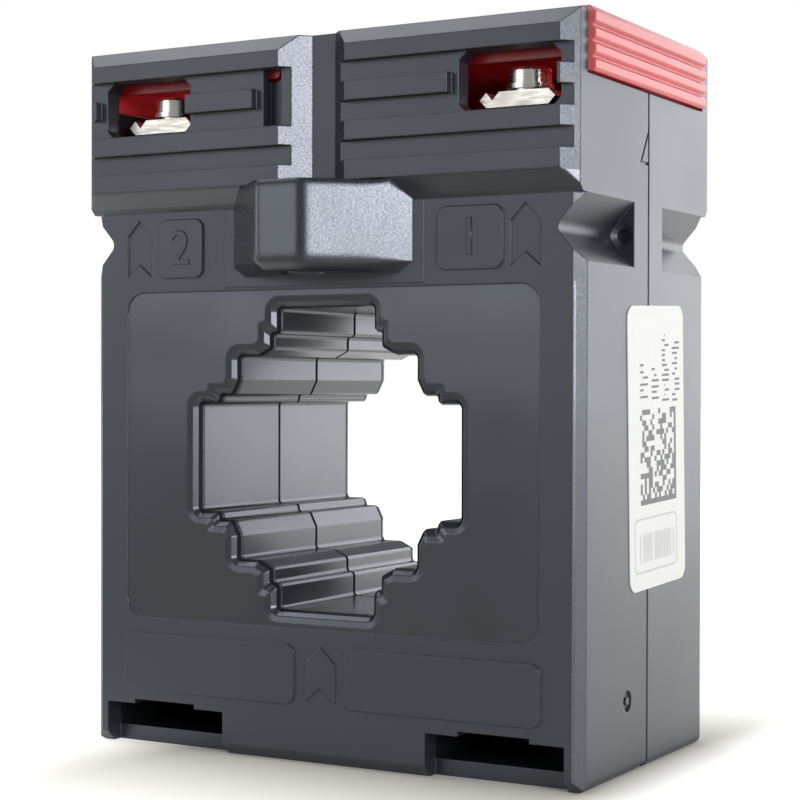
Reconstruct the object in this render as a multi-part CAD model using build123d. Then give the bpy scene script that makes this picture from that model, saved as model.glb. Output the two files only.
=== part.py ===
"""Current transformer for a 30 x 10 mm busbar: a 60 mm wide moulded ring-core transformer.

Frame: origin at the bottom centre of the housing, on the plane where the two half
shells meet.  X is across the housing, Y through the busbar opening (the front is -Y),
Z up.  Millimetres.
"""
from build123d import *
import os
from math import cos, radians, sin, sqrt

os.makedirs("parts", exist_ok=True)

# Housing envelope
housing_width = 60.0
housing_height = 77.0
body_half_depth = 16.7
head_half_depth = 18.9
half_width = housing_width / 2
wall = 1.8
face_wall = 2.0
joint_face_depth = 0.2
joint_face_width = 0.5

# Edges of the body and the head
body_edge_chamfer = 1.1
head_edge_chamfer = 1.55
foot_edge_chamfer = 1.2
foot_corner_radius = 1.0
head_top_chamfer = 1.65
head_start_z = 59.1
head_full_z = head_start_z + head_half_depth - body_half_depth

# Horizontal grooves across the head
groove_count = 3
groove_first_z = 63.3
groove_height = 2.05
groove_pitch = 4.1
groove_depth = 1.05
groove_floor = head_half_depth - groove_depth

# Vertical screwdriver channel in the middle of the head
channel_mouth = 4.1
channel_depth = 2.7
channel_floor = head_half_depth - channel_depth

# Clamp boss above the opening
boss_half_width = 11.15
boss_nose_half_width = 2.7
boss_reach = boss_half_width - boss_nose_half_width
boss_front = body_half_depth + boss_reach
boss_bottom = 51.7
boss_top = 61.0
boss_chamfer = 1.1
boss_root = 0.7
boss_nose_radius = 1.4

# Moulded-in threaded insert for the busbar clamp screw, M5
insert_radius = 3.2
insert_thread_radius = 2.1
insert_bottom = 54.4
insert_length = 6.0
insert_depth = body_half_depth + 3.9
insert_waist_radius = 2.8
screw_passage_radius = 2.7

# Busbar opening: a stepped cross that takes a flat bar either way up
opening_z = 32.2
bar_half_width = 16.1
bar_half_thickness = 5.9
step_half_width = 13.4
step_half_thickness = 6.8
diagonal_half_width = 11.8
square_half = 11.0
square_shoulder = 8.4
opening_corner = 0.42
lip_width = 1.3
lip_depth = 1.3
lip_facets = 3
lip_groove_depth = 0.15
lip_groove_near = 15.02
lip_groove_far = 15.2
collar_radius = 18.8

# V pockets in the four upright corners
pocket_low = 52.3
pocket_high = head_start_z
pocket_reach = 3.0
pocket_end = 3.8
pocket_root_radius = 1.0
dimple_radius = 1.3
dimple_hole_radius = 0.6
dimple_depth = 0.5
dimple_hole_depth = 1.2

# Slots for mounting feet, at the bottom of both faces
slot_inner_x = 12.5
slot_outer_x = 28.1
slot_low = 1.7
slot_high = 4.6
slot_step_high = 5.1
slot_step_width = 8.05
slot_back = 1.2
slot_sill_back = body_half_depth - 2.4

# Shallow glossy panel round the opening, and the raised pad behind the boss
panel_half_width = 25.4
panel_low = 14.2
panel_high = 50.3
panel_radius = 2.2
panel_depth = 0.15
boss_pad_half_width = 12.3
boss_pad_low = 50.6
boss_pad_height = 0.1

# Raised plaques on the face, each from X to X and from Z to Z
plaque_height = 0.25
plaque_radius = 1.0
plaques = [
    (-21.0, -15.1, 51.8, 58.2),
    (13.9, 21.3, 51.8, 58.2),
    (-25.7, -3.3, 6.2, 12.6),
    (3.0, 25.5, 6.2, 12.6),
]

# Arrows on the face, each from X to X, with the Z of its feet, notch, shoulders and tip
arrow_depth = 0.2
sunk_arrows = [
    (22.1, 25.4, 52.0, 53.4, 56.5, 58.3),
    (-25.4, -22.1, 52.0, 53.4, 56.5, 58.3),
]
raised_arrow = (-1.8, 1.8, 6.7, 8.2, 10.8, 12.6)

# Marks on the right side: the moulding gate's ring and a triangle under the seam
gate_y = -5.3
gate_z = 7.7
gate_radius = 1.1
gate_core_radius = 0.4
gate_depth = 0.3
mark_depth = 0.2
mark_stroke = 0.3
mark_left_y = -2.4
mark_right_y = 0.4
mark_low = 63.2
mark_high = 67.8

# Pry notch in the bottom edge, on the right beside the joint
pry_length = 1.9
pry_slope = 0.9
pry_height = 0.55
pry_reach = 2.5

# Cavity for the wound core
cavity_flat = 28.0
cavity_diagonal = 39.0
corner_rib = 1.8
corner_core_inner = 27.8
corner_core_high = 59.6
corner_core_outer = half_width - pocket_reach - wall - 0.4
deck_high = 62.0
face_rib_inner = 22.0
face_rib_outer = 24.0

# Terminal chambers in the head
chamber_half_depth = 15.75
chamber_inner_x = 2.4
chamber_outer_x = half_width - wall
side_wall_top = 70.8
window_left_edges = (-27.35, 16.85)
window_width = 11.3
window_low = 67.45
window_high = 73.5
window_corner = 0.9
window_notch = 0.8
band_low = groove_first_z + groove_pitch + groove_height
band_high = groove_first_z + 2 * groove_pitch
latch_left_x = -6.6
latch_pocket_right_x = -4.3
latch_pocket_depth = 16.3

# Terminals: a plated bar on two pedestals, with two clamp screws
terminal_x = 22.05
screw_y = 12.1
bar_half_breadth = 4.2
bar_half_length = 15.2
terminal_bar_low = 68.1
terminal_bar_thickness = 1.55
terminal_bar_high = terminal_bar_low + terminal_bar_thickness
bar_bevel = 0.75
notch_width = 1.5
notch_depth = 0.85
notch_offset = 2.75
notch_length = 4.0
pedestal_half_width = 4.6
pedestal_inner_y = 8.8
pedestal_hole_radius = 2.4
pedestal_hole_low = 62.8
clamp_rise_at_rest = 0.4
clamp_thickness = 0.5
clamp_radius = 2.45
thread_radius = 1.95
thread_hole_radius = 2.02
screw_head_radius = 2.25
screw_head_height = 1.65
screw_head_fillet = 0.4
screw_slot_width = 0.8
screw_slot_depth = 0.8
screw_slot_reach = 1.75
screw_slot_turn = 30
screw_length = 6.3
head_gap = 0.03

# Hinged terminal covers
hinge_x = 6.2
hinge_z = 73.6
cover_half_depth = 15.2
cover_top = housing_height
cover_plate = 1.1
cover_skirt_low = 71.0
cover_lip_low = 72.6
cover_lip = 0.4
cover_curl_radius = cover_top - hinge_z
cover_curl_end = 205
cover_ear = 1.2
cover_pin_radius = 1.1
cover_pin_end = 16.7
cover_pin_flat = 0.85
cover_socket_radius = 1.16
cover_socket_end = 16.8
cover_skirt_proud = 0.65
cover_skirt_inner = half_width - cover_plate
cover_skirt_outer = half_width + cover_skirt_proud
cover_skirt_chamfer = 0.3
pad_start_x = 19.0
pad_end_x = half_width - 0.05
pad_height = 0.45
pad_chamfer = 0.36
grip_count = 3
grip_pitch = 1.53
grip_first_z = 72.45
grip_half_width = 0.43
grip_depth = 0.45
grip_root_radius = 0.12

# Ring core, its caps, the secondary winding and its tape
core_inner = 20.7
core_outer = 25.5
core_half_width = 11.2
cap_gap = 0.1
cap_wall = 0.5
cap_inner = core_inner - cap_gap - cap_wall
cap_outer = core_outer + cap_gap + cap_wall
cap_half_width = core_half_width + cap_wall
winding_gap = 0.1
winding_inner = 19.2
winding_outer = 27.0
winding_half_width = 12.6
winding_arc = 340
tape_outer = 27.25
lead_radius = 0.7
lead_hole_radius = 1.2
lead_x = 12.0
lead_hole_low = opening_z + cavity_diagonal - lead_x - lead_hole_radius
lead_start_z = 55.9
lead_run_z = 65.0
lead_bend = 2.0

# Rating label on the right side
label_width = 15.5
label_height = 29.7
label_radius = 1.5
label_thickness = 0.1
label_y = 2.45
label_z = 33.75
label_tilt = 2.0

# How far a cutting solid runs past the surface that it cuts, how far two cuts run into
# each other, and the hair by which a shaped cut passes the surface
beyond = 1.0
overlap = 0.1
hair = 0.01


UP = (0, 0, 1)
FRONT = (0, -1, 0)
RIGHT = (1, 0, 0)


def front_prism(sketch, near, far):
    """Extrude an XZ outline between two depths in front of the joint face."""
    return extrude(Plane.XZ.offset(near) * sketch, amount=far - near, dir=FRONT)


def outline(points):
    """A face from corner points, left where the points are."""
    return Polygon(*points, align=(Align.NONE, Align.NONE))


def block(x_from, x_to, y_from, y_to, z_from, z_to):
    """A box between two opposite corners."""
    centre = Pos((x_from + x_to) / 2, (y_from + y_to) / 2, (z_from + z_to) / 2)
    return centre * Box(abs(x_to - x_from), abs(y_to - y_from), abs(z_to - z_from))


def upright(radius, x, y, z_from, z_to):
    """A vertical cylinder."""
    return Pos(x, y, (z_from + z_to) / 2) * Cylinder(radius, z_to - z_from)


def turned_about_z(shape):
    """The same piece on the other side of the housing."""
    return Rot(0, 0, 180) * shape


def is_outer_corner(corner):
    """Whether a corner of the opening's outline is at a slot's end or on the square."""
    across, along = sorted((abs(corner.X), abs(corner.Y)))
    return along > bar_half_width - overlap or across > square_half - overlap


def opening_outline(grow=0.0):
    """The stepped cross of the busbar opening, centred on the opening."""
    quarter = [
        (bar_half_width, bar_half_thickness),
        (step_half_width, bar_half_thickness),
        (step_half_width, step_half_thickness),
        (diagonal_half_width, step_half_thickness),
        (square_half, square_shoulder),
        (square_half, square_half),
    ]
    quarter = quarter + [(z, x) for x, z in reversed(quarter[:-1])]
    mirrored = [(-x, z) for x, z in reversed(quarter)]
    upper = quarter + mirrored
    lower = [(-x, -z) for x, z in upper]
    cross = outline(upper + lower)
    if grow > 0:
        cross = offset(cross, amount=grow, kind=Kind.INTERSECTION)
    inner_corners = [corner for corner in cross.vertices() if not is_outer_corner(corner)]
    cross = fillet(inner_corners, opening_corner)
    outer_corners = [corner for corner in cross.vertices() if is_outer_corner(corner)]
    cross = fillet(outer_corners, opening_corner + grow)
    return Pos(0, opening_z) * cross


def side_profile():
    """The housing seen from its side: foot chamfer, overhanging head and grooves."""
    points = [
        (0, 0),
        (-body_half_depth + foot_edge_chamfer, 0),
        (-body_half_depth, foot_edge_chamfer),
        (-body_half_depth, head_start_z),
        (-head_half_depth, head_full_z),
    ]
    for index in range(groove_count):
        low = groove_first_z + index * groove_pitch
        high = low + groove_height
        points += [
            (-head_half_depth, low),
            (-groove_floor, low),
            (-groove_floor, high),
            (-head_half_depth, high),
        ]
    points += [
        (-head_half_depth, housing_height - head_top_chamfer),
        (-head_half_depth + head_top_chamfer, housing_height),
        (0, housing_height),
    ]
    return outline(points)


def plan_block(half_depth, chamfer_size, z_from, z_to):
    """A slab of the housing in plan, with its upright front edges chamfered."""
    plan = outline([
        (-half_width, 0),
        (-half_width, -half_depth + chamfer_size),
        (-half_width + chamfer_size, -half_depth),
        (half_width - chamfer_size, -half_depth),
        (half_width, -half_depth + chamfer_size),
        (half_width, 0),
    ])
    return extrude(Pos(0, 0, z_from) * plan, amount=z_to - z_from, dir=UP)


def shell_body():
    """The outer form of one half of the housing, still solid."""
    body = extrude(Plane.YZ * side_profile(), amount=half_width, both=True)
    lower = plan_block(body_half_depth, body_edge_chamfer, 0, head_start_z)
    upper = plan_block(head_half_depth, head_edge_chamfer, head_start_z, housing_height)
    front_view = Pos(0, housing_height / 2) * Rectangle(housing_width, housing_height)
    foot_corners = front_view.vertices().sort_by(Axis.Y)[:2]
    front_view = fillet(foot_corners, foot_corner_radius)
    body = body & (lower + upper)
    return body & front_prism(front_view, 0, head_half_depth)


def clamp_boss():
    """The wedge-shaped boss that carries the busbar clamp screw."""
    plan = outline([
        (-boss_half_width - boss_root, -body_half_depth + boss_root),
        (-boss_nose_half_width, -boss_front),
        (boss_nose_half_width, -boss_front),
        (boss_half_width + boss_root, -body_half_depth + boss_root),
    ])
    boss = extrude(Pos(0, 0, boss_bottom) * plan, amount=boss_top - boss_bottom, dir=UP)
    lower_edges = boss.faces().sort_by(Axis.Z)[0].edges().sort_by(Axis.Y)[:-1]
    boss = chamfer(lower_edges, boss_chamfer)
    nose_edges = [
        edge for edge in boss.edges()
        if edge.center().Y < -boss_front + boss_chamfer
        and edge.bounding_box().size.Z > boss_chamfer / 2
    ]
    return fillet(nose_edges, boss_nose_radius)


def boss_bore():
    """The pocket for the threaded insert, with a passage for the screw below it."""
    pocket = upright(insert_radius, 0, -insert_depth, insert_bottom, boss_top + beyond)
    passage = upright(screw_passage_radius, 0, -insert_depth, boss_bottom - beyond, insert_bottom)
    return pocket + passage


def channel():
    """The screwdriver channel: flat floor and flanks at 45 degrees."""
    floor_half = channel_mouth - channel_depth
    plan = outline([
        (-channel_mouth - beyond, -head_half_depth - beyond),
        (-floor_half, -channel_floor),
        (floor_half, -channel_floor),
        (channel_mouth + beyond, -head_half_depth - beyond),
    ])
    height = housing_height + beyond - boss_top
    return extrude(Pos(0, 0, boss_top) * plan, amount=height, dir=UP)


def corner_pocket(side):
    """A V pocket in an upright corner, with a countersunk dimple in its end wall."""
    middle = (pocket_low + pocket_high) / 2
    slope = (pocket_high - pocket_low) / 2 / pocket_reach
    outer = half_width + beyond
    rise = (pocket_reach + beyond) * slope
    vee = outline([
        (half_width - pocket_reach, middle),
        (outer, middle - rise),
        (outer, middle + rise),
    ])
    vee = fillet(vee.vertices().sort_by(Axis.X)[:1], pocket_root_radius)
    cut = front_prism(vee, pocket_end, head_half_depth + beyond)
    dimple_x = half_width - pocket_reach / 2
    seat = Pos(dimple_x, -pocket_end + dimple_depth / 2, middle) * Rot(90, 0, 0)
    cut += seat * Cone(dimple_hole_radius, dimple_radius, dimple_depth)
    hole = Pos(dimple_x, -pocket_end + dimple_hole_depth / 2, middle) * Rot(90, 0, 0)
    cut += hole * Cylinder(dimple_hole_radius, dimple_hole_depth)
    return cut if side > 0 else mirror(cut, about=Plane.YZ)


def foot_slot(side):
    """A blind slot for a mounting foot, with the sill below it set back."""
    front = -body_half_depth - beyond
    inner = side * slot_inner_x
    outer = side * slot_outer_x
    middle = (inner + outer) / 2
    cut = block(inner, outer, front, -slot_back, slot_low, slot_high)
    step_from = middle - slot_step_width / 2
    step_to = middle + slot_step_width / 2
    cut += block(step_from, step_to, front, -slot_back, slot_high - overlap, slot_step_high)
    cut += block(inner, outer, front, -slot_sill_back, -beyond, slot_low + overlap)
    return cut


def opening_cut():
    """The busbar opening with its rounded lip, the lip's groove and the joint's edge."""
    cut = front_prism(opening_outline(), -beyond, body_half_depth + beyond)
    face = body_half_depth - panel_depth
    angles = [90.0 * index / lip_facets for index in range(lip_facets + 1)]
    sections = []
    for angle in angles:
        depth = face - lip_depth * (1 - cos(radians(angle)))
        grow = lip_width * (1 - sin(radians(angle)))
        sections.append(Plane.XZ.offset(depth) * opening_outline(grow))
    for outer, inner in zip(sections[:-1], sections[1:]):
        cut += loft([outer, inner], ruled=True)
    cut += front_prism(opening_outline(lip_width), face - hair, body_half_depth + beyond)
    cut += front_prism(opening_outline(lip_groove_depth), lip_groove_near, lip_groove_far)
    cut += front_prism(opening_outline(joint_face_width / 2), -beyond, joint_face_depth)
    return cut


def core_cavity():
    """The octagonal space for the wound core, with cored-out corners beside it."""
    bevel = cavity_diagonal - cavity_flat
    octagon = outline([
        (cavity_flat, -bevel), (cavity_flat, bevel),
        (bevel, cavity_flat), (-bevel, cavity_flat),
        (-cavity_flat, bevel), (-cavity_flat, -bevel),
        (-bevel, -cavity_flat), (bevel, -cavity_flat),
    ])
    depth = body_half_depth - face_wall
    cut = front_prism(Pos(0, opening_z) * octagon, -beyond, depth)
    cut -= front_prism(Pos(0, opening_z) * Circle(collar_radius), -2 * beyond, depth + beyond)
    rib = Circle(face_rib_outer) - Circle(face_rib_inner)
    cut -= front_prism(Pos(0, opening_z) * rib, winding_half_width, depth + beyond)

    diagonal = cavity_diagonal + corner_rib * sqrt(2)
    low = slot_step_high + wall - opening_z
    high = corner_core_high - opening_z
    for side in (-1, 1):
        lower = outline([
            (side * (diagonal + low), low),
            (side * corner_core_inner, low),
            (side * corner_core_inner, corner_core_inner - diagonal),
        ])
        upper = outline([
            (side * (diagonal - high), high),
            (side * corner_core_outer, high),
            (side * corner_core_outer, diagonal - corner_core_outer),
        ])
        cut += front_prism(Pos(0, opening_z) * lower, -beyond, depth)
        cut += front_prism(Pos(0, opening_z) * upper, -beyond, depth)
    return cut


def terminal_chamber(side):
    """The open-topped chamber for one terminal, less the pedestal of its screw."""
    inner = side * chamber_inner_x
    outer = side * chamber_outer_x
    past = side * (half_width + beyond)
    top = housing_height + beyond
    cut = block(inner, outer, beyond, -chamber_half_depth, deck_high, top)
    cut += block(outer, past, beyond, -chamber_half_depth, side_wall_top, top)
    centre = side * terminal_x
    cut -= block(centre - pedestal_half_width, centre + pedestal_half_width,
                 -pedestal_inner_y, -chamber_half_depth - beyond,
                 deck_high - beyond, terminal_bar_low)
    cut += upright(pedestal_hole_radius, centre, -screw_y, pedestal_hole_low,
                   terminal_bar_low + beyond)
    cut += upright(lead_hole_radius, side * lead_x, 0, lead_hole_low, deck_high + beyond)
    socket_length = cover_socket_end - chamber_half_depth + beyond
    socket = Pos(side * hinge_x, -cover_socket_end + socket_length / 2, hinge_z)
    cut += socket * Rot(90, 0, 0) * Cylinder(cover_socket_radius, socket_length)
    return cut


def wire_window(left):
    """The opening in the head's face where a wire enters, with cut corners."""
    right = left + window_width
    frame = outline([
        (left, window_low + window_corner),
        (left + window_corner, window_low),
        (right - window_corner, window_low),
        (right, window_low + window_corner),
        (right, window_high - window_corner),
        (right - window_corner, window_high),
        (left + window_corner, window_high),
        (left, window_high - window_corner),
    ])
    cut = front_prism(frame, chamber_half_depth - beyond, head_half_depth + beyond)
    return cut + band_notch(left)


def band_notch(edge_x):
    """The step in the raised band to the left of a window."""
    return block(edge_x - window_notch, edge_x + beyond, -groove_floor,
                 -head_half_depth - beyond, band_low, band_high)


def latch_window():
    """The narrow window beside the channel that shows the cover's hinge pin."""
    front = -head_half_depth - beyond
    right = -channel_mouth + groove_depth
    cut = block(latch_left_x, right, front, -groove_floor, window_low, window_high)
    cut += block(latch_left_x, latch_pocket_right_x, front, -latch_pocket_depth,
                 window_low, window_high)
    return cut + band_notch(latch_left_x)


def plaque(x_from, x_to, z_from, z_to, near, far):
    """A rounded rectangle on the face between two depths."""
    centre = Pos((x_from + x_to) / 2, (z_from + z_to) / 2)
    sketch = centre * RectangleRounded(x_to - x_from, z_to - z_from, plaque_radius)
    return front_prism(sketch, near, far)


def arrow(x_from, x_to, z_low, z_notch, z_shoulder, z_tip, near, far):
    """A banner-shaped arrow on the face between two depths."""
    middle = (x_from + x_to) / 2
    shape = outline([
        (x_from, z_low), (middle, z_notch), (x_to, z_low),
        (x_to, z_shoulder), (middle, z_tip), (x_from, z_shoulder),
    ])
    return front_prism(shape, near, far)


def face_panel():
    """The shallow glossy panel around the opening."""
    sketch = Pos(0, (panel_low + panel_high) / 2) * RectangleRounded(
        2 * panel_half_width, panel_high - panel_low, panel_radius)
    return front_prism(sketch, body_half_depth - panel_depth, body_half_depth + beyond)


def joint_edge():
    """The fine step round the outside where the two shells meet."""
    outer = Pos(0, housing_height / 2) * Rectangle(housing_width + 2, housing_height + 2)
    inner = Pos(0, housing_height / 2) * Rectangle(
        housing_width - 2 * joint_face_width, housing_height - 2 * joint_face_width)
    return front_prism(outer - inner, -beyond, joint_face_depth)


def side_marks():
    """The moulding gate's ring and the triangular mark on the shell's right side."""
    ring = Circle(gate_radius) - Circle(gate_core_radius)
    gate = Plane.YZ.offset(half_width - gate_depth) * Pos(gate_y, gate_z) * ring
    triangle = outline([
        (mark_left_y, mark_low), (mark_right_y, mark_low), (mark_right_y, mark_high),
    ])
    inside = offset(triangle, amount=-mark_stroke, kind=Kind.INTERSECTION)
    mark = Plane.YZ.offset(half_width - mark_depth) * (triangle - inside)
    return (extrude(gate, amount=gate_depth + beyond, dir=RIGHT)
            + extrude(mark, amount=mark_depth + beyond, dir=RIGHT))


def pry_notch():
    """A notch under the right side where the two shells can be prised apart."""
    profile = outline([
        (-pry_length - pry_slope, -pry_slope),
        (-pry_length + pry_slope * pry_height, pry_height),
        (beyond, pry_height),
        (beyond, -pry_slope),
    ])
    return extrude(Plane.YZ.offset(half_width - pry_reach) * profile,
                   amount=pry_reach + beyond, dir=RIGHT)


def make_half_shell():
    """One half of the housing: the front one, turned half a turn to make the rear one."""
    face = body_half_depth
    shell = shell_body() + clamp_boss()
    shell += block(-boss_pad_half_width, boss_pad_half_width, -face + beyond,
                   -face - boss_pad_height, boss_pad_low, head_start_z)
    for plaque_place in plaques:
        shell += plaque(*plaque_place, face - beyond, face + plaque_height)
    shell += arrow(*raised_arrow, face - beyond, face + arrow_depth)
    for arrow_place in sunk_arrows:
        shell -= arrow(*arrow_place, face - arrow_depth, face + beyond)
    shell -= channel()
    shell -= boss_bore()
    shell -= face_panel()
    shell -= core_cavity()
    shell -= opening_cut()
    for side in (-1, 1):
        shell -= corner_pocket(side)
        shell -= foot_slot(side)
        shell -= terminal_chamber(side)
    for left in window_left_edges:
        shell -= wire_window(left)
    shell -= latch_window()
    shell -= joint_edge()
    shell -= side_marks()
    shell -= pry_notch()
    return shell


def skirt_grooves():
    """The V grooves along the cover's skirt, as seen from the front."""
    grooves = Sketch()
    for index in range(grip_count):
        height = grip_first_z + index * grip_pitch
        groove = outline([
            (cover_skirt_outer - grip_depth, height),
            (cover_skirt_outer + hair, height - grip_half_width),
            (cover_skirt_outer + hair, height + grip_half_width),
        ])
        grooves += fillet(groove.vertices().sort_by(Axis.X)[:1], grip_root_radius)
    return grooves


def make_cover():
    """The hinged cover of the right-hand terminal: plate, skirt, lips and hinge pins."""
    plate_low = cover_top - cover_plate
    pad_top = cover_top + pad_height
    corner_drop = cover_skirt_outer - pad_end_x
    profile = outline([
        (hinge_x, plate_low),
        (cover_skirt_inner, plate_low),
        (cover_skirt_inner, cover_skirt_low),
        (cover_skirt_outer - cover_skirt_chamfer, cover_skirt_low),
        (cover_skirt_outer, cover_skirt_low + cover_skirt_chamfer),
        (cover_skirt_outer, pad_top - corner_drop),
        (pad_end_x, pad_top),
        (pad_start_x + pad_chamfer, pad_top),
        (pad_start_x, pad_top - pad_chamfer),
        (pad_start_x, cover_top),
        (hinge_x, cover_top),
    ])
    profile -= skirt_grooves()
    curl_inner = cover_curl_radius - cover_plate
    ring = Circle(cover_curl_radius) - Circle(curl_inner)
    reach = 2 * cover_curl_radius
    end_angle = radians(cover_curl_end)
    wedge = outline([
        (0, 0),
        (0, reach),
        (-reach, reach),
        (reach * cos(end_angle), reach * sin(end_angle)),
    ])
    profile += Pos(hinge_x, hinge_z) * (ring & wedge)
    cover = front_prism(profile, -cover_half_depth, cover_half_depth)

    for side in (-1, 1):
        outer = side * cover_half_depth
        cover += block(hinge_x, cover_skirt_inner + beyond / 2, outer, outer - side * cover_lip,
                       cover_lip_low, cover_top - cover_plate / 2)
        ear = Pos(hinge_x, outer - side * cover_ear / 2, hinge_z) * Rot(90, 0, 0)
        cover += ear * Cylinder(cover_curl_radius, cover_ear)
        pin_length = cover_pin_end - cover_half_depth + cover_ear
        pin_centre = side * (cover_pin_end - pin_length / 2)
        pin = Rot(90, 0, 0) * Cylinder(cover_pin_radius, pin_length)
        pin -= block(-cover_pin_radius, cover_pin_radius, -pin_length, pin_length,
                     -cover_pin_radius - beyond, -cover_pin_flat)
        cover += Pos(hinge_x, pin_centre, hinge_z) * pin
    return cover


def make_terminal_bar():
    """The right-hand terminal bar: bevelled edges, V notches and threaded holes."""
    low = terminal_bar_low
    high = terminal_bar_high
    middle = (low + high) / 2
    section = outline([
        (-bar_half_breadth + bar_bevel, low),
        (bar_half_breadth - bar_bevel, low),
        (bar_half_breadth, middle),
        (bar_half_breadth - bar_bevel, high),
        (-bar_half_breadth + bar_bevel, high),
        (-bar_half_breadth, middle),
    ])
    bar = front_prism(section, -bar_half_length, bar_half_length)
    notch = outline([
        (-notch_offset - notch_width / 2, high + hair),
        (-notch_offset, high - notch_depth),
        (-notch_offset + notch_width / 2, high + hair),
    ])
    front_notch = front_prism(notch, bar_half_length - notch_length, bar_half_length + beyond)
    bar -= front_notch
    bar -= turned_about_z(front_notch)
    for end in (-1, 1):
        bar -= upright(thread_hole_radius, 0, end * screw_y, low - beyond, high + beyond)
    return Pos(terminal_x, 0, 0) * bar


def make_clamp(end):
    """The washer under the head of a right-hand terminal screw."""
    low = terminal_bar_high + clamp_rise_at_rest
    y = end * screw_y
    washer = upright(clamp_radius, terminal_x, y, low, low + clamp_thickness)
    return washer - upright(thread_hole_radius, terminal_x, y, low - beyond, low + beyond)


def make_screw(end):
    """A right-hand terminal screw: slotted cheese head on a threaded shank."""
    y = end * screw_y
    head_low = terminal_bar_high + clamp_rise_at_rest + clamp_thickness + head_gap
    head_high = head_low + screw_head_height
    head = upright(screw_head_radius, terminal_x, y, head_low, head_high)
    head = fillet(head.edges().filter_by(GeomType.CIRCLE).sort_by(Axis.Z)[-1:], screw_head_fillet)
    slot = block(-screw_head_radius - beyond, screw_head_radius + beyond,
                 -screw_slot_width / 2, screw_slot_width / 2, 0, screw_slot_depth + beyond)
    cross = slot + Rot(0, 0, 90) * slot
    recess = cross & Cylinder(screw_slot_reach, 4 * beyond)
    head -= Pos(terminal_x, y, head_high - screw_slot_depth) * Rot(0, 0, screw_slot_turn) * recess
    return head + upright(thread_radius, terminal_x, y, head_low - screw_length, head_low)


def make_insert():
    """The brass insert in the front boss, with a waist that the plastic grips."""
    low = insert_bottom
    high = insert_bottom + insert_length
    waist = insert_length / 3
    insert = upright(insert_radius, 0, -insert_depth, low, high)
    ring = upright(insert_radius + beyond, 0, -insert_depth, low + waist, high - waist)
    ring -= upright(insert_waist_radius, 0, -insert_depth, low, high)
    insert -= ring
    return insert - upright(insert_thread_radius, 0, -insert_depth, low - beyond, high + beyond)


def ring_section(inner, outer, low, high):
    """A rectangle of radii and depths in the XY plane, to be revolved."""
    centre = Pos((inner + outer) / 2, (low + high) / 2)
    return centre * Rectangle(outer - inner, high - low)


def revolved(section, arc=360):
    """Turn a section about the axis of the busbar opening."""
    ring = revolve(section, axis=Axis.Y, revolution_arc=arc)
    return Pos(0, 0, opening_z) * ring


def make_core():
    """The strip-wound ring core."""
    return revolved(ring_section(core_inner, core_outer, -core_half_width, core_half_width))


def make_core_cap(side):
    """One of the two insulating caps that close round the core."""
    low, high = sorted((0, side * cap_half_width))
    outer = ring_section(cap_inner, cap_outer, low, high)
    space = ring_section(core_inner - cap_gap, core_outer + cap_gap,
                         -core_half_width, core_half_width)
    return revolved(outer - space)


def make_winding():
    """The secondary winding, a closed layer of turns with a gap at the bottom."""
    outer = ring_section(winding_inner, winding_outer, -winding_half_width, winding_half_width)
    space = ring_section(cap_inner - winding_gap, cap_outer + winding_gap,
                         -cap_half_width, cap_half_width)
    ring = revolve(outer - space, axis=Axis.Y, revolution_arc=winding_arc)
    start = 90 + (360 - winding_arc) / 2
    return Pos(0, 0, opening_z) * Rot(0, start, 0) * ring


def make_tape():
    """The band of insulating tape round the winding."""
    return revolved(ring_section(winding_outer, tape_outer,
                                 -winding_half_width, winding_half_width))


def make_lead():
    """The right-hand lead, from the winding up through the deck to the terminal bar."""
    path = FilletPolyline(
        (lead_x, 0, lead_start_z),
        (lead_x, 0, lead_run_z),
        (terminal_x, 0, lead_run_z),
        (terminal_x, 0, terminal_bar_low),
        radius=lead_bend,
    )
    start = Plane(origin=(lead_x, 0, lead_start_z), z_dir=(0, 0, 1))
    return sweep(start * Circle(lead_radius), path=path)


def make_label():
    """The printed label on the right side, stuck on at a slight tilt."""
    sketch = Rot(0, 0, label_tilt) * RectangleRounded(label_width, label_height, label_radius)
    place = Plane.YZ.offset(half_width) * Pos(label_y, label_z)
    return extrude(place * sketch, amount=label_thickness, dir=RIGHT)


def build_nodes():
    """Every separate piece of the transformer, under its node's name."""
    shell = make_half_shell()
    cover = make_cover()
    bar = make_terminal_bar()
    lead = make_lead()
    other_lead = turned_about_z(lead)
    insert = make_insert()
    nodes = {
        "front_shell": shell,
        "rear_shell": turned_about_z(shell),
        "s1_cover": cover,
        "s2_cover": turned_about_z(cover),
        "s1_terminal_bar": bar,
        "s2_terminal_bar": turned_about_z(bar),
        "front_insert": insert,
        "rear_insert": turned_about_z(insert),
        "core": make_core(),
        "core_cap_front": make_core_cap(-1),
        "core_cap_rear": make_core_cap(1),
        "secondary_winding": make_winding() - lead - other_lead,
        "winding_tape": make_tape() - lead - other_lead,
        "s1_lead": lead,
        "s2_lead": other_lead,
        "rating_label": make_label(),
    }
    for name, end in (("front", -1), ("rear", 1)):
        nodes[f"s1_{name}_clamp"] = make_clamp(end)
        nodes[f"s1_{name}_screw"] = make_screw(end)
        nodes[f"s2_{name}_clamp"] = turned_about_z(make_clamp(-end))
        nodes[f"s2_{name}_screw"] = turned_about_z(make_screw(-end))
    return nodes


for node_name, solid in build_nodes().items():
    export_step(solid, f"parts/{node_name}.step")
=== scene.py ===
import math
import random

import bmesh
import bpy
from mathutils import Matrix, Vector


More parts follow.
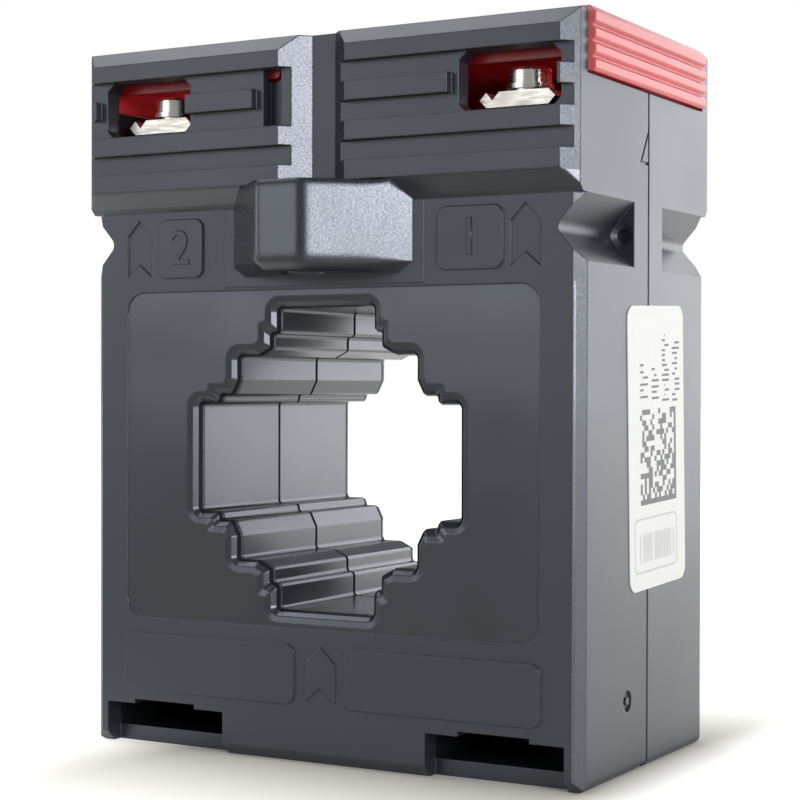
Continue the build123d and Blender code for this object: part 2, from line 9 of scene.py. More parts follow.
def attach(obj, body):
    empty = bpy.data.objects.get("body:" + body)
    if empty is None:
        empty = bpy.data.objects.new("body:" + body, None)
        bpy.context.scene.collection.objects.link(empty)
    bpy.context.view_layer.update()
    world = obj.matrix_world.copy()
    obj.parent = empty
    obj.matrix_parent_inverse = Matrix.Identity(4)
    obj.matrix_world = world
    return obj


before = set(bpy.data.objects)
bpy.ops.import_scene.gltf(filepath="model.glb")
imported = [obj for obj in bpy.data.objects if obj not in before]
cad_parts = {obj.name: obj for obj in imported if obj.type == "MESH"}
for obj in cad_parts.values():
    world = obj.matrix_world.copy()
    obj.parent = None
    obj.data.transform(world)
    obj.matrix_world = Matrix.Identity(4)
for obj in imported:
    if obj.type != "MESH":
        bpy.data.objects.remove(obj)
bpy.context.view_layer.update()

MM = 0.001

# Places and sizes on the housing, in millimetres, as the frame has them
OPENING_Z = 32.2
OPENING_REACH = 20.5
PANEL_Y = 16.55
PANEL_FROM_Y = PANEL_Y - 0.1
PANEL_TO_Y = PANEL_Y + 0.04
PANEL_TOP = 50.35
HALF_DEPTH = 16.7
BOSS_Y = 17.2
BOSS_NOSE_Y = 20.5
BOSS_TOP = 61.1
BEVEL_X = 27.0
SLOT_TOP = 5.2
SILL_Y = 14.2
DECK_Z = 61.9
CHAMBER_Y = 15.8
INDOOR_X = 28.5
COVER_PLATE_Z = 75.85
SKIRT_X = 28.85

# Rounding that the shading gives to edges, in millimetres, and the draft of the walls
EDGE_ROUND = 0.18
BOSS_ROUND = 1.2
COVER_ROUND = 0.25
DRAFT = 0.02

# Product of a bevel's two sideways directions, and the depth that an end face looks in
BEVEL_FACING = 0.3
END_FACING = 0.7

# Black housing: its two tones, the glints of its grain, and painted shade for its inside
HOUSING_DARK = (0.013, 0.015, 0.019, 1.0)
HOUSING_LIGHT = (0.018, 0.020, 0.025, 1.0)
HOUSING_GLINT = (0.038, 0.040, 0.047, 1.0)
HOUSING_PAINTED_SHADE = (0.004, 0.005, 0.007, 1.0)
HOUSING_GLEAM = 0.9
HOUSING_GLEAM_TINT = (0.83, 0.88, 1.0, 1.0)

# Stretches of a noise's values, and the roughness of the housing that they are spread to
NOISE_MIDDLE = (0.3, 0.7)
NOISE_WIDE = (0.25, 0.75)
GRAIN_PEAKS = (0.42, 0.66)
SATIN = (0.38, 0.43)
GLOSS = (0.22, 0.30)
PITTED = (-0.06, 0.08)

# Red covers: two tones outside, painted shade inside under the plate, and painted light on
# the ends of the skirt
COVER_DARK = (0.80, 0.045, 0.060, 1.0)
COVER_LIGHT = (0.88, 0.060, 0.075, 1.0)
COVER_PAINTED_SHADE = (0.42, 0.010, 0.022, 1.0)
COVER_PAINTED_LIGHT = (1.0, 0.25, 0.27, 1.0)

# The core's strip thickness in millimetres, and the winding's ridges in one radian
STRIP_PITCH = 0.27
RIDGES = 180.0
COPPER_SHADE = (0.25, 0.07, 0.03, 1.0)
COPPER_LIGHT = (0.72, 0.28, 0.12, 1.0)

# The label on the right side, in millimetres. Its print is placed from its centre:
# u is to the rear and v is up, before the label's tilt
LABEL_FACE_X = 30.1
LABEL_CENTRE = (2.45, 33.75)
LABEL_TILT = 2.0
PRINT_LIFT = 0.012
DARK_INK, FAINT_INK = 0, 1

# Lines of made-up signs: low u, high u, low v, high v and how many signs
PRINT_LINES = [
    (-4.6, -2.5, 5.2, 9.1, 3),
    (-1.45, 0.55, 5.0, 8.6, 3),
    (1.5, 3.45, 4.7, 12.1, 7),
    (4.35, 6.5, 4.6, 11.3, 6),
]
SIGN_SEED = 7
SIGN_SHARE = 0.74
STROKE = 0.24
STROKE_STARTS = (0.0, 0.0, 0.35)
STROKE_ENDS = (0.0, 0.3, 0.55)

# The square field of code blocks, with a full row below and a full column at its right
CODE_CORNER = (-4.7, -6.0)
CODE_CELLS = 18
CODE_CELL = 0.555
CODE_SHARE = 0.52
CODE_SEED = 3

# The faint ruled box and its stripes
BOX_CORNER = (-6.5, -13.1)
BOX_SIZE = (11.9, 5.8)
BOX_RADIUS = 0.9
BOX_CORNER_STEPS = 6
STRIPE_COUNT = 22
STRIPE_PITCH = 0.44
STRIPE_SIZE = (0.24, 3.0)
STRIPE_SHARE = 0.85
STRIPE_SEED = 5
STRIPES_MIDDLE = (6.2, 2.6)

# Numerals on the upper plaques, in millimetres: text, X and Z of the centre
PLAQUE_FACE_Y = 16.95
NUMERAL_HEIGHT = 5.4
NUMERAL_RISE = 0.07
NUMERAL_BEVEL = 0.05
NUMERAL_THINNING = -0.02
NUMERALS = {
    "front": [("1", 17.6, 54.9), ("2", -18.0, 54.9)],
    "rear": [("1", 18.0, 54.9), ("2", -17.6, 54.9)],
}

# The shade on the floor: its left and right ends in millimetres, how fast it fades past
# them, and in metres where it ends near the object and where the backdrop is all white
SHADE_LEFT = 18.0
SHADE_LEFT_RATE = 2.6
SHADE_RIGHT = 30.0
SHADE_RIGHT_RATE = 5.0
SHADE_START = -0.002
SHADE_END = 0.036
WHITE_FROM = 0.3
NEAR_GLOW = 0.85

# Where the white floor in front of the object stops being mirrored, in millimetres
FRONT_LIGHT = 20.0
FRONT_DARK = 60.0
FLOOR_HALF = 3.0
FLOOR_COLOUR = (0.74, 0.71, 0.64, 1.0)

# Camera, solved from the photograph's straight edges: millimetres and degrees
CAMERA_PLACE = (106.63, -188.14, 40.11)
CAMERA_YAW = 29.521
CAMERA_PITCH = -0.439
CAMERA_ROLL = 0.137
CAMERA_LENS = 86.36
SENSOR = 36.0
CLIP_NEAR = 0.01
CLIP_FAR = 20.0

# Soft boxes: place and size in metres, and power in watts
LAMP_TARGET = (0.0, 0.0, 0.04)
LAMPS = [
    ("key_softbox", (0.565, -0.31, 0.15), (0.24, 0.21), 2.5),
    ("fill_softbox", (-0.43, -0.71, 0.18), (0.5, 0.26), 0.92),
    ("left_strip", (-0.55, -0.2, 0.12), (0.08, 0.2), 0.25),
    ("rear_softbox", (0.215, 0.43, 0.135), (0.38, 0.27), 0.98),
    ("rear_top_softbox", (0.03, 0.52, 0.31), (0.16, 0.12), 0.2),
    ("overhead_softbox", (-0.4, 0.0, 0.85), (0.5, 0.5), 2.4),
]
AMBIENT_COLOUR = (0.9, 0.95, 1.0, 1.0)
AMBIENT_STRENGTH = 0.35


class Nodes:
    """A node tree under construction: adds a node and sets or links its inputs."""

    def __init__(self, tree):
        self.tree = tree

    def node(self, kind, inputs=None, **settings):
        made = self.tree.nodes.new(kind)
        for key, value in settings.items():
            setattr(made, key, value)
        for key, value in (inputs or {}).items():
            socket = made.inputs[key]
            if isinstance(value, bpy.types.NodeSocket):
                self.tree.links.new(value, socket)
            else:
                socket.default_value = value
        return made

    def math(self, operation, first, second=0.0, third=0.0):
        inputs = {0: first, 1: second, 2: third}
        return self.node("ShaderNodeMath", inputs, operation=operation).outputs[0]


class Finish(Nodes):
    """A material under construction."""

    def __init__(self, name):
        self.material = bpy.data.materials.new(name)
        self.material.use_nodes = True
        super().__init__(self.material.node_tree)
        self.tree.nodes.clear()

    def position(self):
        return self.node("ShaderNodeTexCoord").outputs["Object"]

    def facing(self):
        return self.node("ShaderNodeTexCoord").outputs["Normal"]

    def parts(self, vector):
        return self.node("ShaderNodeSeparateXYZ", {0: vector}).outputs[:3]

    def above(self, value, limit):
        """1 where a value is over a limit in millimetres, otherwise 0."""
        return self.math("GREATER_THAN", value, limit * MM)

    def below(self, value, limit):
        """1 where a value is under a limit in millimetres, otherwise 0."""
        return self.math("LESS_THAN", value, limit * MM)

    def both(self, first, second):
        return self.math("MULTIPLY", first, second)

    def either(self, first, second):
        return self.math("MAXIMUM", first, second)

    def length(self, first, second):
        squares = self.math("ADD", self.math("MULTIPLY", first, first),
                            self.math("MULTIPLY", second, second))
        return self.math("SQRT", squares)

    def over_opening(self, z):
        return self.math("SUBTRACT", z, OPENING_Z * MM)

    def noise(self, vector, scale, detail, rough):
        inputs = {"Vector": vector, "Scale": scale, "Detail": detail, "Roughness": rough}
        return self.node("ShaderNodeTexNoise", inputs).outputs["Fac"]

    def stretched(self, vector, scale):
        inputs = {"Vector": vector, "Scale": scale}
        return self.node("ShaderNodeMapping", inputs).outputs[0]

    def spread(self, value, low, high, to_low, to_high):
        inputs = {"Value": value, "From Min": low, "From Max": high,
                  "To Min": to_low, "To Max": to_high}
        return self.node("ShaderNodeMapRange", inputs).outputs[0]

    def blend(self, factor, first, second):
        """A colour between two others."""
        inputs = {0: factor, 6: first, 7: second}
        return self.node("ShaderNodeMix", inputs, data_type="RGBA").outputs[2]

    def mixed(self, factor, first, second):
        """A number between two others."""
        inputs = {0: factor, 2: first, 3: second}
        return self.node("ShaderNodeMix", inputs, data_type="FLOAT").outputs[0]

    def rounded(self, radius, samples):
        inputs = {"Radius": radius}
        return self.node("ShaderNodeBevel", inputs, samples=samples).outputs[0]

    def bump(self, height, strength, distance, normal=None):
        inputs = {"Height": height, "Strength": strength, "Distance": distance}
        if normal is not None:
            inputs["Normal"] = normal
        return self.node("ShaderNodeBump", inputs).outputs[0]

    def output(self, shader):
        self.node("ShaderNodeOutputMaterial", {"Surface": shader.outputs[0]})

    def surface(self, inputs):
        self.output(self.node("ShaderNodeBsdfPrincipled", inputs))


def grey(level):
    return (level, level, level, 1.0)


def housing_finish():
    """Black polycarbonate: polished panel, satin faces, spark-eroded bevels."""
    finish = Finish("black_polycarbonate")
    place = finish.position()
    x, y, z = finish.parts(place)
    nx, ny, _ = finish.parts(finish.facing())
    aside = finish.math("ABSOLUTE", x)
    depth = finish.math("ABSOLUTE", y)
    reach = finish.length(x, finish.over_opening(z))

    # Which part of the moulding a point is on, each 1 or 0
    across = finish.math("ABSOLUTE", finish.math("MULTIPLY", nx, ny))
    bevel = finish.math("GREATER_THAN", across, BEVEL_FACING)
    outside = finish.above(reach, OPENING_REACH)
    grained = finish.both(bevel, finish.above(aside, BEVEL_X))
    flank = finish.both(finish.math("SUBTRACT", bevel, grained), outside)
    inside = finish.both(finish.math("SUBTRACT", 1.0, outside),
                         finish.below(depth, PANEL_FROM_Y))
    in_panel = finish.both(finish.above(depth, PANEL_FROM_Y), finish.below(depth, PANEL_TO_Y))
    in_panel = finish.both(in_panel, finish.below(z, PANEL_TOP))
    on_boss = finish.both(finish.above(depth, BOSS_Y), finish.below(z, BOSS_TOP))
    polished = finish.either(finish.either(in_panel, on_boss), finish.either(inside, flank))
    # Painted shade: the foot slots and the head's chamber are darkened in colour where shade
    # falls
    in_slot = finish.both(finish.below(z, SLOT_TOP), finish.below(depth, SILL_Y))
    in_head = finish.both(finish.above(z, DECK_Z), finish.below(depth, CHAMBER_Y))
    painted_shade_inside = finish.both(finish.either(in_slot, in_head), finish.below(aside, INDOOR_X))

    grain = finish.noise(place, scale=4600.0, detail=2.0, rough=0.6)
    skin = finish.noise(place, scale=1500.0, detail=3.0, rough=0.6)
    cloud = finish.noise(place, scale=60.0, detail=3.0, rough=0.5)
    sunk = finish.noise(place, scale=55.0, detail=1.0, rough=0.5)

    base = finish.blend(cloud, HOUSING_DARK, HOUSING_LIGHT)
    sparkle = finish.spread(grain, *GRAIN_PEAKS, 0.0, 1.0)
    base = finish.blend(finish.both(grained, sparkle), base, HOUSING_GLINT)
    # Painted shade inside the foot slots and the head's chamber
    base = finish.blend(painted_shade_inside, base, HOUSING_PAINTED_SHADE)
    satin = finish.spread(cloud, *NOISE_MIDDLE, *SATIN)
    gloss = finish.spread(cloud, *NOISE_MIDDLE, *GLOSS)
    rough = finish.mixed(polished, satin, gloss)
    textured = finish.math("ADD", grained, flank)
    pitted = finish.spread(grain, *NOISE_WIDE, *PITTED)
    rough = finish.math("MULTIPLY_ADD", textured, pitted, rough)

    # The boss is rounder than the other edges, and more so the further it stands out
    boss_round = finish.spread(depth, BOSS_Y * MM, BOSS_NOSE_Y * MM, 0.0, BOSS_ROUND * MM)
    rounding = finish.math("MULTIPLY_ADD", on_boss, boss_round, EDGE_ROUND * MM)
    edge = finish.rounded(rounding, samples=8)
    half = finish.math("SIGN", y)
    lean = finish.node("ShaderNodeCombineXYZ", {1: finish.math("MULTIPLY", half, DRAFT)})
    tilted = finish.node("ShaderNodeVectorMath", {0: edge, 1: lean.outputs[0]},
                         operation="ADD").outputs[0]
    warped = finish.bump(sunk, strength=finish.math("MULTIPLY", in_panel, 0.6),
                         distance=0.5 * MM, normal=tilted)
    fine = finish.bump(skin, strength=0.05, distance=0.02 * MM, normal=warped)
    coarse = finish.bump(grain, strength=finish.math("MULTIPLY", textured, 0.1),
                         distance=0.03 * MM, normal=fine)
    finish.surface({"Base Color": base, "Roughness": rough, "Normal": coarse,
                    "Specular IOR Level": HOUSING_GLEAM,
                    "Specular Tint": HOUSING_GLEAM_TINT})
    return finish.material


def cover_finish():
    """Translucent red polycarbonate, with painted shade inside and painted light on the
    skirt's ends.
    """
    finish = Finish("red_cover_polycarbonate")
    place = finish.position()
    x, _, z = finish.parts(place)
    aside = finish.math("ABSOLUTE", x)
    # Painted shade: darker red under the plate and inside the skirt
    painted_shade_under = finish.both(finish.below(z, COVER_PLATE_Z), finish.below(aside, SKIRT_X))
    depth_facing = finish.math("ABSOLUTE", finish.parts(finish.facing())[1])
    # Painted light: the skirt's end faces are made paler where light falls on them
    painted_light_end = finish.both(finish.math("GREATER_THAN", depth_facing, END_FACING),
                            finish.above(aside, SKIRT_X))
    cloud = finish.noise(place, scale=180.0, detail=3.0, rough=0.5)
    colour = finish.blend(cloud, COVER_DARK, COVER_LIGHT)
    colour = finish.blend(painted_shade_under, colour, COVER_PAINTED_SHADE)
    # Painted light on the skirt's end faces
    colour = finish.blend(painted_light_end, colour, COVER_PAINTED_LIGHT)
    edge = finish.rounded(COVER_ROUND * MM, samples=4)
    skin = finish.noise(place, scale=1200.0, detail=2.0, rough=0.5)
    relief = finish.bump(skin, strength=0.04, distance=0.02 * MM, normal=edge)
    finish.surface({"Base Color": colour, "Roughness": 0.3, "Normal": relief,
                    "Specular IOR Level": 0.4, "Transmission Weight": 0.5, "IOR": 1.58})
    return finish.material


def nickel_finish(name, tint, rough):
    """Bright nickel plating with fine brushing."""
    finish = Finish(name)
    place = finish.position()
    along = finish.stretched(place, (500, 3500, 3500))
    brushed = finish.noise(along, scale=1.0, detail=3.0, rough=0.6)
    cloud = finish.noise(place, scale=350.0, detail=3.0, rough=0.5)
    duller = tuple(0.9 * part for part in tint[:3]) + (1.0,)
    colour = finish.blend(cloud, tint, duller)
    roughness = finish.spread(brushed, *NOISE_MIDDLE, rough * 0.8, rough * 1.4)
    relief = finish.bump(brushed, strength=0.02, distance=0.01 * MM)
    finish.surface({"Base Color": colour, "Metallic": 1.0, "Roughness": roughness,
                    "Normal": relief})
    return finish.material


def plain_finish(name, first, second, scale, rough, metallic=0.0, relief=0.1, gleam=0.5):
    """A two-tone mottled finish with a little surface grain."""
    finish = Finish(name)
    place = finish.position()
    mottle = finish.noise(place, scale, detail=4.0, rough=0.6)
    colour = finish.blend(mottle, first, second)
    skin = finish.noise(place, scale * 6, detail=2.0, rough=0.5)
    finish.surface({"Base Color": colour, "Metallic": metallic, "Roughness": rough,
                    "Specular IOR Level": gleam,
                    "Normal": finish.bump(skin, strength=relief, distance=0.02 * MM)})
    return finish.material


def strip_finish():
    """Wound steel strip: fine rings round the opening's axis."""
    finish = Finish("wound_steel_strip")
    x, _, z = finish.parts(finish.position())
    reach = finish.length(x, finish.over_opening(z))
    rings = finish.math("SINE", finish.math("MULTIPLY", reach,
                                            2 * math.pi / (STRIP_PITCH * MM)))
    colour = finish.blend(finish.spread(rings, -1, 1, 0, 1), grey(0.28), grey(0.5))
    finish.surface({"Base Color": colour, "Metallic": 1.0, "Roughness": 0.35,
                    "Normal": finish.bump(rings, strength=0.3, distance=0.05 * MM)})
    return finish.material


def winding_finish():
    """Enamelled copper turns laid round the ring."""
    finish = Finish("copper_turns")
    x, _, z = finish.parts(finish.position())
    angle = finish.math("ARCTAN2", finish.over_opening(z), x)
    turns = finish.math("SINE", finish.math("MULTIPLY", angle, RIDGES))
    colour = finish.blend(finish.spread(turns, -1, 1, 0, 1), COPPER_SHADE, COPPER_LIGHT)
    finish.surface({"Base Color": colour, "Metallic": 0.8, "Roughness": 0.3,
                    "Normal": finish.bump(turns, strength=0.6, distance=0.15 * MM)})
    return finish.material


def ink_finish(name, first, second):
    """Matt printing ink with a slightly uneven cover."""
    finish = Finish(name)
    cover = finish.noise(finish.position(), scale=2500.0, detail=3.0, rough=0.6)
    finish.surface({"Base Color": finish.blend(cover, first, second), "Roughness": 0.6,
                    "Normal": finish.bump(cover, strength=0.1, distance=0.01 * MM)})
    return finish.material


def dress_nodes():
    """Give every CAD node its finish, and return the housing's."""
    housing = housing_finish()
    cover = cover_finish()
    plate = nickel_finish("nickel_plate", (0.66, 0.63, 0.58, 1.0), rough=0.34)
    polished = nickel_finish("polished_nickel", (0.86, 0.82, 0.76, 1.0), rough=0.24)
    brass = plain_finish("bare_brass", (0.75, 0.52, 0.22, 1.0), (0.62, 0.42, 0.16, 1.0),
                         scale=800.0, rough=0.3, metallic=1.0)
    nylon = plain_finish("natural_nylon", (0.78, 0.76, 0.70, 1.0), (0.70, 0.68, 0.62, 1.0),
                         scale=300.0, rough=0.45)
    tape = plain_finish("polyester_tape", (0.80, 0.62, 0.16, 1.0), (0.68, 0.50, 0.12, 1.0),
                        scale=250.0, rough=0.3)
    lead = plain_finish("lead_insulation", (0.03, 0.03, 0.035, 1.0), (0.05, 0.05, 0.05, 1.0),
                        scale=600.0, rough=0.45)
    film = plain_finish("label_film", (0.79, 0.79, 0.78, 1.0), (0.75, 0.75, 0.74, 1.0),
                        scale=400.0, rough=0.6, relief=0.02, gleam=0.15)
    finishes = {
        "front_shell": housing, "rear_shell": housing,
        "s1_cover": cover, "s2_cover": cover,
        "s1_terminal_bar": plate, "s2_terminal_bar": plate,
        "front_insert": brass, "rear_insert": brass,
        "core": strip_finish(), "core_cap_front": nylon, "core_cap_rear": nylon,
        "secondary_winding": winding_finish(), "winding_tape": tape,
        "s1_lead": lead, "s2_lead": lead, "rating_label": film,
    }
    for side in ("s1", "s2"):
        for end in ("front", "rear"):
            finishes[f"{side}_{end}_clamp"] = polished
            finishes[f"{side}_{end}_screw"] = polished
    for node_name, material in finishes.items():
        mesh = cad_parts[node_name].data
        mesh.materials.clear()
        mesh.materials.append(material)
    return housing


def repeated_marks_tree():
    """Geometry Nodes: rows and columns of small marks, some of them left out."""
    tree = bpy.data.node_groups.new("repeated_marks", "GeometryNodeTree")
    sockets = [
        ("Columns", "NodeSocketInt"), ("Rows", "NodeSocketInt"),
        ("Pitch X", "NodeSocketFloat"), ("Pitch Y", "NodeSocketFloat"),
        ("Mark Width", "NodeSocketFloat"), ("Mark Height", "NodeSocketFloat"),
        ("Share Kept", "NodeSocketFloat"), ("Seed", "NodeSocketInt"),
        ("Ink", "NodeSocketMaterial"),
    ]
    for name, kind in sockets:
        tree.interface.new_socket(name, in_out="INPUT", socket_type=kind)
    tree.interface.new_socket("Geometry", in_out="OUTPUT", socket_type="NodeSocketGeometry")
    nodes = Nodes(tree)

    def span(count, pitch):
        gaps = nodes.math("SUBTRACT", count, 1.0)
        return nodes.math("MULTIPLY", gaps, pitch)

    asked = nodes.node("NodeGroupInput").outputs
    places = nodes.node("GeometryNodeMeshGrid", {
        "Size X": span(asked["Columns"], asked["Pitch X"]),
        "Size Y": span(asked["Rows"], asked["Pitch Y"]),
        "Vertices X": asked["Columns"], "Vertices Y": asked["Rows"]})
    mark = nodes.node("GeometryNodeMeshGrid", {
        "Size X": asked["Mark Width"], "Size Y": asked["Mark Height"],
        "Vertices X": 2, "Vertices Y": 2})
    kept = nodes.node("FunctionNodeRandomValue", {
        "Probability": asked["Share Kept"], "Seed": asked["Seed"]}, data_type="BOOLEAN")
    marks = nodes.node("GeometryNodeInstanceOnPoints", {
        "Points": places.outputs["Mesh"], "Selection": kept.outputs[3],
        "Instance": mark.outputs["Mesh"]})
    real = nodes.node("GeometryNodeRealizeInstances", {"Geometry": marks.outputs[0]})
    inked = nodes.node("GeometryNodeSetMaterial", {
        "Geometry": real.outputs[0], "Material": asked["Ink"]})
    nodes.node("NodeGroupOutput", {"Geometry": inked.outputs[0]})
    return tree


def repeated_marks(tree, **values):
    """One field of marks as a plain mesh, centred on its own origin."""
    carrier = bpy.data.objects.new("marks", bpy.data.meshes.new("marks"))
    bpy.context.collection.objects.link(carrier)
    modifier = carrier.modifiers.new("repeated_marks", "NODES")
    modifier.node_group = tree
    for item in tree.interface.items_tree:
        if item.in_out == "INPUT":
            modifier[item.identifier] = values[item.name.replace(" ", "_").lower()]
    seen = carrier.evaluated_get(bpy.context.evaluated_depsgraph_get())
    mesh = bpy.data.meshes.new_from_object(seen)
    carrier.modifiers.remove(modifier)
    bpy.data.objects.remove(carrier)
    return mesh


def bar(print_mesh, low_u, high_u, low_v, high_v):
    """A printed rectangle in dark ink, in the label's own directions."""
    corners = [(low_u, low_v), (high_u, low_v), (high_u, high_v), (low_u, high_v)]
    face = print_mesh.faces.new([print_mesh.verts.new((u, v, 0)) for u, v in corners])
    face.material_index = DARK_INK


def sign(print_mesh, dice, low_u, high_u, low_v, high_v):
    """Two short parallel strokes of varied length that stand for a printed sign."""
    span = high_u - low_u
    for v in (low_v, high_v - STROKE):
        start = low_u + dice.choice(STROKE_STARTS) * span
        end = high_u - dice.choice(STROKE_ENDS) * span
        bar(print_mesh, start, end, v, v + STROKE)


def rounded_frame(print_mesh, corner, size, radius, width):
    """The outline of a rounded rectangle in faint ink, as one ring of flat faces."""
    rings = []
    for inset in (0.0, width):
        ring = []
        for quarter, (side_u, side_v) in enumerate(((1, 1), (0, 1), (0, 0), (1, 0))):
            centre_u = corner[0] + (size[0] - radius if side_u else radius)
            centre_v = corner[1] + (size[1] - radius if side_v else radius)
            for step in range(BOX_CORNER_STEPS + 1):
                angle = math.radians(90 * (quarter + step / BOX_CORNER_STEPS))
                ring.append(print_mesh.verts.new((
                    centre_u + (radius - inset) * math.cos(angle),
                    centre_v + (radius - inset) * math.sin(angle), 0)))
        rings.append(ring)
    outer, inner = rings
    count = len(outer)
    for index in range(count):
        after = (index + 1) % count
        face = print_mesh.faces.new((outer[index], outer[after], inner[after], inner[index]))
        face.material_index = FAINT_INK


def label_print():
    """The label's print: signs, a field of code blocks, and a faint ruled box."""
    dark = ink_finish("label_ink", (0.13, 0.13, 0.135, 1.0), (0.19, 0.19, 0.195, 1.0))
    faint = ink_finish("label_tint", grey(0.52), grey(0.60))
    print_mesh = bmesh.new()
    dice = random.Random(SIGN_SEED)
    for low_u, high_u, low_v, high_v, count in PRINT_LINES:
        pitch = (high_v - low_v) / count
        for index in range(count):
            low = low_v + index * pitch
            sign(print_mesh, dice, low_u, high_u, low, low + SIGN_SHARE * pitch)

    code = CODE_CELLS * CODE_CELL
    u, v = CODE_CORNER
    bar(print_mesh, u, u + code, v, v + CODE_CELL)
    bar(print_mesh, u + code - CODE_CELL, u + code, v + CODE_CELL, v + code)
    rounded_frame(print_mesh, BOX_CORNER, BOX_SIZE, BOX_RADIUS, STROKE)
    tree = repeated_marks_tree()
    field = repeated_marks(
        tree, columns=CODE_CELLS - 1, rows=CODE_CELLS - 1, pitch_x=CODE_CELL,
        pitch_y=CODE_CELL, mark_width=CODE_CELL, mark_height=CODE_CELL,
        share_kept=CODE_SHARE, seed=CODE_SEED, ink=dark)
    half = (CODE_CELLS - 1) / 2 * CODE_CELL
    field.transform(Matrix.Translation((u + half, v + CODE_CELL + half, 0)))
    stripes = repeated_marks(
        tree, columns=STRIPE_COUNT, rows=1, pitch_x=STRIPE_PITCH, pitch_y=STRIPE_PITCH,
        mark_width=STRIPE_SIZE[0], mark_height=STRIPE_SIZE[1],
        share_kept=STRIPE_SHARE, seed=STRIPE_SEED, ink=faint)
    stripes.transform(Matrix.Translation((BOX_CORNER[0] + STRIPES_MIDDLE[0],
                                          BOX_CORNER[1] + STRIPES_MIDDLE[1], 0)))
    for ink, marks in ((DARK_INK, field), (FAINT_INK, stripes)):
        drawn = len(print_mesh.faces)
        print_mesh.from_mesh(marks)
        print_mesh.faces.ensure_lookup_table()
        for face in print_mesh.faces[drawn:]:
            face.material_index = ink

    mesh = bpy.data.meshes.new("label_print")
    print_mesh.to_mesh(mesh)
    print_mesh.free()
    mesh.materials.append(dark)
    mesh.materials.append(faint)
    across = Vector((0, 1, 0))
    along = Vector((0, 0, 1))
    turn = Matrix.Rotation(math.radians(LABEL_TILT), 4, "X")
    frame_of_label = Matrix((across, along, across.cross(along))).transposed().to_4x4()
    place = Vector((LABEL_FACE_X + PRINT_LIFT, LABEL_CENTRE[0], LABEL_CENTRE[1])) * MM
    mesh.transform(Matrix.Translation(place) @ turn @ frame_of_label @ Matrix.Scale(MM, 4))
    printed = bpy.data.objects.new("label_print", mesh)
    bpy.context.collection.objects.link(printed)
    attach(printed, "housing")


def numeral_mesh(text):
    """One raised numeral, lying flat, in millimetres."""
    data = bpy.data.curves.new("numeral", "FONT")
    data.body = text
    data.size = NUMERAL_HEIGHT
    data.align_x = "CENTER"
    data.align_y = "CENTER"
    data.extrude = NUMERAL_RISE
    data.bevel_depth = NUMERAL_BEVEL
    data.bevel_resolution = 1
    data.offset = NUMERAL_THINNING
    carrier = bpy.data.objects.new("numeral", data)
    bpy.context.collection.objects.link(carrier)
    seen = carrier.evaluated_get(bpy.context.evaluated_depsgraph_get())
    mesh = bpy.data.meshes.new_from_object(seen)
    bpy.data.objects.remove(carrier)
    return mesh


def plaque_numerals(housing):
    """Raised numerals on the upper plaques, in the housing's own plastic."""
    upright = Matrix.Rotation(math.radians(90), 4, "X")
    about = Matrix.Rotation(math.radians(180), 4, "Z")
    for side, face_y, turn in (("front", -PLAQUE_FACE_Y, upright),
                               ("rear", PLAQUE_FACE_Y, about @ upright)):
        numerals = bmesh.new()
        for text, x, z in NUMERALS[side]:
            mesh = numeral_mesh(text)
            place = Matrix.Translation((x * MM, face_y * MM, z * MM))
            mesh.transform(place @ turn @ Matrix.Scale(MM, 4))
            numerals.from_mesh(mesh)
        mesh = bpy.data.meshes.new(f"{side}_numerals")
        numerals.to_mesh(mesh)
        numerals.free()
        mesh.materials.append(housing)
        raised = bpy.data.objects.new(f"{side}_numerals", mesh)
        bpy.context.collection.objects.link(raised)
        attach(raised, "housing")


def place_camera():
    """The photograph's camera."""
    yaw, pitch, roll = (math.radians(a) for a in (CAMERA_YAW, CAMERA_PITCH, CAMERA_ROLL))
    ahead = Vector((-math.sin(yaw) * math.cos(pitch), math.cos(yaw) * math.cos(pitch),
                    math.sin(pitch)))
    level = Vector((math.cos(yaw), math.sin(yaw), 0))
    above = level.cross(ahead)
    right = level * math.cos(roll) + above * math.sin(roll)
    up = above * math.cos(roll) - level * math.sin(roll)
    data = bpy.data.cameras.new("photo_camera")
    data.lens = CAMERA_LENS
    data.sensor_width = SENSOR
    data.clip_start = CLIP_NEAR
    data.clip_end = CLIP_FAR
    camera = bpy.data.objects.new("photo_camera", data)
    turn = Matrix((right, up, -ahead)).transposed().to_4x4()
    camera.matrix_world = Matrix.Translation(Vector(CAMERA_PLACE) * MM) @ turn
    bpy.context.collection.objects.link(camera)
    bpy.context.scene.camera = camera


def soft_box(name, place, size, power):
    """A rectangular studio lamp that faces the object."""
    data = bpy.data.lights.new(name, "AREA")
    data.shape = "RECTANGLE"
    data.size, data.size_y = size
    data.energy = power
    lamp = bpy.data.objects.new(name, data)
    lamp.location = place
    aim = Vector(LAMP_TARGET) - Vector(place)
    lamp.rotation_euler = aim.to_track_quat("-Z", "Y").to_euler()
    bpy.context.collection.objects.link(lamp)


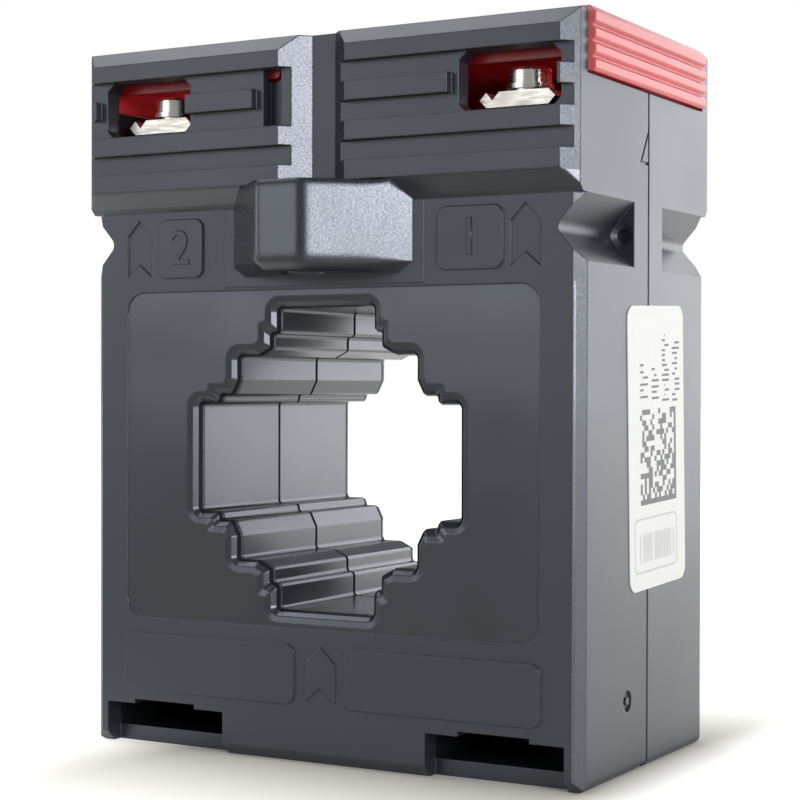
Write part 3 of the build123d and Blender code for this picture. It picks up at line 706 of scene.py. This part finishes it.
def floor_finish():
    """Warm pale floor in the object's shade that fades to the white backdrop."""
    finish = Finish("studio_floor")
    x, y, _ = finish.parts(finish.position())
    left = finish.math("MULTIPLY_ADD", x, -SHADE_LEFT_RATE,
                       -SHADE_LEFT_RATE * SHADE_LEFT * MM)
    right = finish.math("MULTIPLY_ADD", x, SHADE_RIGHT_RATE,
                        -SHADE_RIGHT_RATE * SHADE_RIGHT * MM)
    ahead = finish.math("SUBTRACT", finish.math("ABSOLUTE", y), HALF_DEPTH * MM)
    past_side = finish.math("MAXIMUM", finish.math("MAXIMUM", left, right), 0.0)
    past_front = finish.math("MAXIMUM", ahead, 0.0)
    distance = finish.length(past_side, past_front)
    near = finish.spread(distance, SHADE_START, SHADE_END, 0.0, NEAR_GLOW)
    far = finish.spread(distance, SHADE_END, WHITE_FROM, 0.0, 1.0 - NEAR_GLOW)

    rays = finish.node("ShaderNodeLightPath").outputs
    backdrop = finish.spread(y, -FRONT_DARK * MM, -FRONT_LIGHT * MM, 0.0, 1.0)
    mirrored = finish.either(rays["Is Glossy Ray"], rays["Is Transmission Ray"])
    seen = finish.either(rays["Is Camera Ray"], finish.both(mirrored, backdrop))
    strength = finish.math("MULTIPLY", finish.math("ADD", near, far), seen)
    diffuse = finish.node("ShaderNodeBsdfDiffuse", {"Color": FLOOR_COLOUR})
    glow = finish.node("ShaderNodeEmission", {"Color": grey(1.0), "Strength": strength})
    finish.output(finish.node("ShaderNodeAddShader",
                              {0: diffuse.outputs[0], 1: glow.outputs[0]}))
    return finish.material


def studio_world():
    """Dim, even light on the object, and white for the camera."""
    world = bpy.data.worlds.new("studio")
    world.use_nodes = True
    nodes = Nodes(world.node_tree)
    nodes.tree.nodes.clear()
    ambient = nodes.node("ShaderNodeBackground", {
        "Color": AMBIENT_COLOUR, "Strength": AMBIENT_STRENGTH})
    white = nodes.node("ShaderNodeBackground", {"Color": grey(1.0), "Strength": 1.0})
    rays = nodes.node("ShaderNodeLightPath").outputs
    mix = nodes.node("ShaderNodeMixShader", {
        0: rays["Is Camera Ray"], 1: ambient.outputs[0], 2: white.outputs[0]})
    nodes.node("ShaderNodeOutputWorld", {"Surface": mix.outputs[0]})
    return world


def build_stage():
    """The floor, the lamps and the world."""
    mesh = bpy.data.meshes.new("studio_floor")
    half = FLOOR_HALF
    corners = [(-half, -half, 0), (half, -half, 0), (half, half, 0), (-half, half, 0)]
    mesh.from_pydata(corners, [], [(0, 1, 2, 3)])
    mesh.materials.append(floor_finish())
    floor = bpy.data.objects.new("studio_floor", mesh)
    bpy.context.collection.objects.link(floor)
    for name, place, size, power in LAMPS:
        soft_box(name, place, size, power)
    bpy.context.scene.world = studio_world()
    bpy.context.scene.view_settings.view_transform = "Standard"


housing_plastic = dress_nodes()
label_print()
plaque_numerals(housing_plastic)
place_camera()
build_stage()
